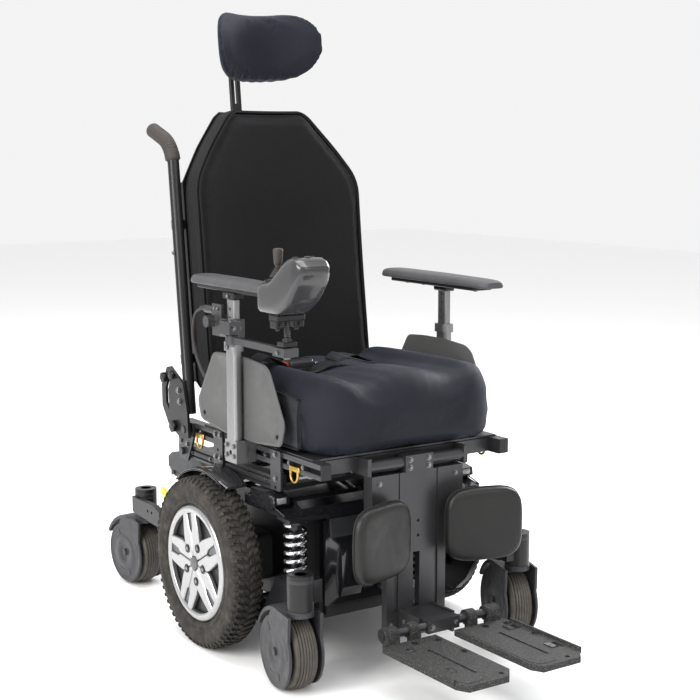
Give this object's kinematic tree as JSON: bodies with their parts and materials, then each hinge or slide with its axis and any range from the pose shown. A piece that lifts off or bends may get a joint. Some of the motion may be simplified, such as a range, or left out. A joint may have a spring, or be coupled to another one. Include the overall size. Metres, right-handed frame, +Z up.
{
  "type": "power wheelchair",
  "caption": "Mid-wheel-drive power wheelchair with contoured seat, tapered back, curved headrest, centre-mounted legrest with footplates and a swing-away joystick.",
  "frame": {"origin": "on the floor, midway between the two drive-wheel contacts", "axes": "+Z up, the chair faces -Y, the occupant's left is +X"},
  "size_m": [0.6568, 1.241, 1.3258],
  "materials": {
    "frame_black": "satin powder coat",
    "rail_anodised": "dark anodised",
    "grey_plastic": "fine texture",
    "gloss_black": "gloss",
    "battery_case": "matt",
    "motor_cast": "painted casting",
    "lamp_lens": "clear",
    "lever_yellow": "gloss",
    "tyre_black": "moulded tread",
    "rim_grey": "painted",
    "hubcap_silver": "satin silver",
    "caster_rubber": "ribbed",
    "spring_chrome": "polished",
    "actuator_metal": "satin",
    "seat_fabric": "stretch knit",
    "back_fabric": "woven spacer",
    "belt_webbing": "woven webbing",
    "button_red": "gloss",
    "post_silver": "satin anodised",
    "pad_vinyl": "soft skin foam",
    "joy_metal": "satin",
    "joy_plastic": "fine texture",
    "grip_rubber": "matt",
    "head_fabric": "stretch knit",
    "foot_plate": "grit",
    "button_green": "gloss"
  },
  "bodies": {
    "base": {"base_frame": "frame_black", "tilt_base": "rail_anodised", "power_pack": "battery_case", "drive_motors": "motor_cast", "base_shroud": "gloss_black", "rear_cover": "grey_plastic", "lamps": "lamp_lens", "front_spring_right": "spring_chrome", "front_spring_left": "spring_chrome"},
    "seat": {"seat_frame": "rail_anodised", "seat_cushion": "seat_fabric", "side_guards": "grey_plastic", "arm_receivers": "post_silver", "lap_belt": "belt_webbing"},
    "back": {"back_frame": "frame_black", "push_grip": "grip_rubber", "back_shell": "frame_black", "back_cushion": "back_fabric"},
    "arm_right": {"arm_post_right": "post_silver", "arm_pad_right": "pad_vinyl", "joystick_bracket": "joy_metal", "joystick_cable": "grip_rubber"},
    "arm_left": {"arm_post_left": "post_silver", "arm_pad_left": "pad_vinyl"},
    "drive_wheel_right": {"drive_tyre_right": "tyre_black", "drive_rim_right": "rim_grey", "hubcap_right": "hubcap_silver"},
    "freewheel_lever_right": {"freewheel_lever_right": "lever_yellow"},
    "front_arm_right": {"front_arm_right": "frame_black"},
    "rear_arm_right": {"rear_arm_right": "frame_black"},
    "fork_front_right": {"fork_front_right": "grey_plastic"},
    "fork_rear_right": {"fork_rear_right": "grey_plastic"},
    "caster_front_right": {"caster_front_right": "caster_rubber"},
    "caster_rear_right": {"caster_rear_right": "caster_rubber"},
    "footplate_right": {"footplate_right": "foot_plate"},
    "calf_pad_right": {"calf_pad_right": "pad_vinyl"},
    "drive_wheel_left": {"drive_tyre_left": "tyre_black", "drive_rim_left": "rim_grey", "hubcap_left": "hubcap_silver"},
    "freewheel_lever_left": {"freewheel_lever_left": "lever_yellow"},
    "front_arm_left": {"front_arm_left": "frame_black"},
    "rear_arm_left": {"rear_arm_left": "frame_black"},
    "fork_front_left": {"fork_front_left": "grey_plastic"},
    "fork_rear_left": {"fork_rear_left": "grey_plastic"},
    "caster_front_left": {"caster_front_left": "caster_rubber"},
    "caster_rear_left": {"caster_rear_left": "caster_rubber"},
    "footplate_left": {"footplate_left": "foot_plate"},
    "calf_pad_left": {"calf_pad_left": "pad_vinyl"},
    "buckle_button": {"buckle_button": "button_red"},
    "tilt_actuator": {"tilt_actuator": "actuator_metal"},
    "tilt_actuator_rod": {"tilt_actuator_rod": "spring_chrome"},
    "joystick_link": {"joystick_link": "joy_metal"},
    "joystick_pod": {"joystick_pod": "joy_plastic"},
    "joystick_boot": {"joystick_boot": "grip_rubber"},
    "joystick_stick": {"joystick_stick": "joy_plastic"},
    "power_button": {"power_button": "button_green"},
    "headrest_bar": {"headrest_bar": "frame_black"},
    "headrest_pad": {"headrest_pad": "head_fabric"},
    "legrest_carrier": {"legrest_carrier": "rail_anodised"},
    "legrest_slide": {"legrest_slide": "rail_anodised"}
  },
  "joints": [
    {"name": "drive_wheel_spin_right", "type": "hinge", "parent": "base", "child": "drive_wheel_right", "pos_m": [-0.279, 0, 0.178], "axis": [1, 0, 0], "continuous": true},
    {"name": "freewheel_lever_turn_right", "type": "hinge", "parent": "base", "child": "freewheel_lever_right", "pos_m": [-0.207, 0.2625, 0.195], "axis": [1, 0, 0], "range_deg": [0, 30]},
    {"name": "front_suspension_right", "type": "hinge", "parent": "base", "child": "front_arm_right", "pos_m": [-0.233, -0.07, 0.104], "axis": [-1, 0, 0], "range_deg": [0, 8], "stiffness_Nm_per_rad": 300, "springref_deg": -28.65, "deforming": ["front_spring_right"]},
    {"name": "rear_suspension_right", "type": "hinge", "parent": "base", "child": "rear_arm_right", "pos_m": [-0.233, 0.06, 0.104], "axis": [1, 0, 0], "range_deg": [0, 8], "stiffness_Nm_per_rad": 400, "springref_deg": -28.65},
    {"name": "front_caster_swivel_right", "type": "hinge", "parent": "front_arm_right", "child": "fork_front_right", "pos_m": [-0.266, -0.34, 0.166], "axis": [0, 0, 1], "continuous": true},
    {"name": "front_caster_spin_right", "type": "hinge", "parent": "fork_front_right", "child": "caster_front_right", "pos_m": [-0.26112, -0.3003, 0.076], "axis": [0.9925, -0.1219, 0], "continuous": true},
    {"name": "rear_caster_swivel_right", "type": "hinge", "parent": "rear_arm_right", "child": "fork_rear_right", "pos_m": [-0.205, 0.44, 0.166], "axis": [0, 0, 1], "continuous": true},
    {"name": "rear_caster_spin_right", "type": "hinge", "parent": "fork_rear_right", "child": "caster_rear_right", "pos_m": [-0.20849, 0.47985, 0.076], "axis": [0.9962, 0.0872, 0], "continuous": true},
    {"name": "drive_wheel_spin_left", "type": "hinge", "parent": "base", "child": "drive_wheel_left", "pos_m": [0.279, 0, 0.178], "axis": [1, 0, 0], "continuous": true},
    {"name": "freewheel_lever_turn_left", "type": "hinge", "parent": "base", "child": "freewheel_lever_left", "pos_m": [0.207, 0.2625, 0.195], "axis": [1, 0, 0], "range_deg": [0, 30]},
    {"name": "front_suspension_left", "type": "hinge", "parent": "base", "child": "front_arm_left", "pos_m": [0.233, -0.07, 0.104], "axis": [-1, 0, 0], "range_deg": [0, 8], "stiffness_Nm_per_rad": 300, "springref_deg": -28.65, "deforming": ["front_spring_left"]},
    {"name": "rear_suspension_left", "type": "hinge", "parent": "base", "child": "rear_arm_left", "pos_m": [0.233, 0.06, 0.104], "axis": [1, 0, 0], "range_deg": [0, 8], "stiffness_Nm_per_rad": 400, "springref_deg": -28.65},
    {"name": "front_caster_swivel_left", "type": "hinge", "parent": "front_arm_left", "child": "fork_front_left", "pos_m": [0.266, -0.34, 0.166], "axis": [0, 0, 1], "continuous": true},
    {"name": "front_caster_spin_left", "type": "hinge", "parent": "fork_front_left", "child": "caster_front_left", "pos_m": [0.2777, -0.30175, 0.076], "axis": [0.9563, -0.2924, 0], "continuous": true},
    {"name": "rear_caster_swivel_left", "type": "hinge", "parent": "rear_arm_left", "child": "fork_rear_left", "pos_m": [0.205, 0.44, 0.166], "axis": [0, 0, 1], "continuous": true},
    {"name": "rear_caster_spin_left", "type": "hinge", "parent": "fork_rear_left", "child": "caster_rear_left", "pos_m": [0.20779, 0.4799, 0.076], "axis": [0.9976, -0.0698, 0], "continuous": true},
    {"name": "seat_tilt", "type": "hinge", "parent": "base", "child": "seat", "pos_m": [0, 0.19, 0.371], "axis": [-1, 0, 0], "range_deg": [0, 45]},
    {"name": "tilt_actuator_swing", "type": "hinge", "parent": "base", "child": "tilt_actuator", "pos_m": [0, 0.075, 0.33], "axis": [-1, 0, 0], "range_deg": [0, 53]},
    {"name": "tilt_actuator_extend", "type": "slide", "parent": "tilt_actuator", "child": "tilt_actuator_rod", "axis": [0, -0.9789, 0.2045], "range_m": [0, 0.08]},
    {"name": "back_recline", "type": "hinge", "parent": "seat", "child": "back", "pos_m": [0, 0.165, 0.423], "axis": [-1, 0, 0], "range_deg": [0, 30]},
    {"name": "headrest_height", "type": "slide", "parent": "back", "child": "headrest_bar", "axis": [0, 0.1132, 0.9936], "range_m": [-0.03, 0.08]},
    {"name": "headrest_tilt", "type": "hinge", "parent": "headrest_bar", "child": "headrest_pad", "pos_m": [0, 0.31801, 1.23591], "axis": [1, 0, 0], "range_deg": [-15, 15]},
    {"name": "armrest_height_right", "type": "slide", "parent": "seat", "child": "arm_right", "axis": [0, 0, 1], "range_m": [0, 0.08]},
    {"name": "armrest_height_left", "type": "slide", "parent": "seat", "child": "arm_left", "axis": [0, 0, 1], "range_m": [0, 0.08]},
    {"name": "joystick_swing", "type": "hinge", "parent": "arm_right", "child": "joystick_link", "pos_m": [-0.285, -0.125, 0.653], "axis": [0, 0, -1], "range_deg": [0, 90]},
    {"name": "joystick_pod_turn", "type": "hinge", "parent": "joystick_link", "child": "joystick_pod", "pos_m": [-0.285, -0.33, 0.653], "axis": [0, 0, -1], "range_deg": [-90, 0]},
    {"name": "joystick_fore_aft", "type": "hinge", "parent": "joystick_pod", "child": "joystick_boot", "pos_m": [-0.285, -0.3, 0.778], "axis": [1, 0, 0], "range_deg": [-15, 15], "stiffness_Nm_per_rad": 0.4},
    {"name": "joystick_side_side", "type": "hinge", "parent": "joystick_boot", "child": "joystick_stick", "pos_m": [-0.285, -0.3, 0.778], "axis": [0, 1, 0], "range_deg": [-15, 15], "stiffness_Nm_per_rad": 0.4},
    {"name": "power_button_press", "type": "slide", "parent": "joystick_pod", "child": "power_button", "axis": [0, 0.6157, -0.788], "range_m": [0, 0.0015], "stiffness_N_per_m": 300},
    {"name": "buckle_button_press", "type": "slide", "parent": "seat", "child": "buckle_button", "axis": [1, 0, 0], "range_m": [0, 0.004], "stiffness_N_per_m": 300},
    {"name": "legrest_elevate", "type": "hinge", "parent": "seat", "child": "legrest_carrier", "pos_m": [0, -0.34, 0.418], "axis": [-1, 0, 0], "range_deg": [0, 70]},
    {"name": "legrest_extend", "type": "slide", "parent": "legrest_carrier", "child": "legrest_slide", "axis": [0, 0, -1], "range_m": [0, 0.09]},
    {"name": "footplate_fold_right", "type": "hinge", "parent": "legrest_slide", "child": "footplate_right", "pos_m": [-0.1, -0.425, 0.112], "axis": [-1, 0, 0], "range_deg": [0, 90]},
    {"name": "calf_pad_swing_right", "type": "hinge", "parent": "legrest_carrier", "child": "calf_pad_right", "pos_m": [-0.112, -0.366, 0.305], "axis": [0, 0, -1], "range_deg": [0, 15]},
    {"name": "footplate_fold_left", "type": "hinge", "parent": "legrest_slide", "child": "footplate_left", "pos_m": [0.1, -0.425, 0.112], "axis": [-1, 0, 0], "range_deg": [0, 90]},
    {"name": "calf_pad_swing_left", "type": "hinge", "parent": "legrest_carrier", "child": "calf_pad_left", "pos_m": [0.112, -0.366, 0.305], "axis": [0, 0, 1], "range_deg": [0, 15]}
  ],
  "couplings": [
    {"joint": "tilt_actuator_swing", "follows": "seat_tilt", "ratio": 1.1667},
    {"joint": "tilt_actuator_extend", "follows": "seat_tilt", "m_per_rad": 0.10084},
    {"joint": "joystick_pod_turn", "follows": "joystick_swing", "ratio": -1},
    {"joint": "legrest_extend", "follows": "legrest_elevate", "m_per_rad": 0.0736}
  ]
}
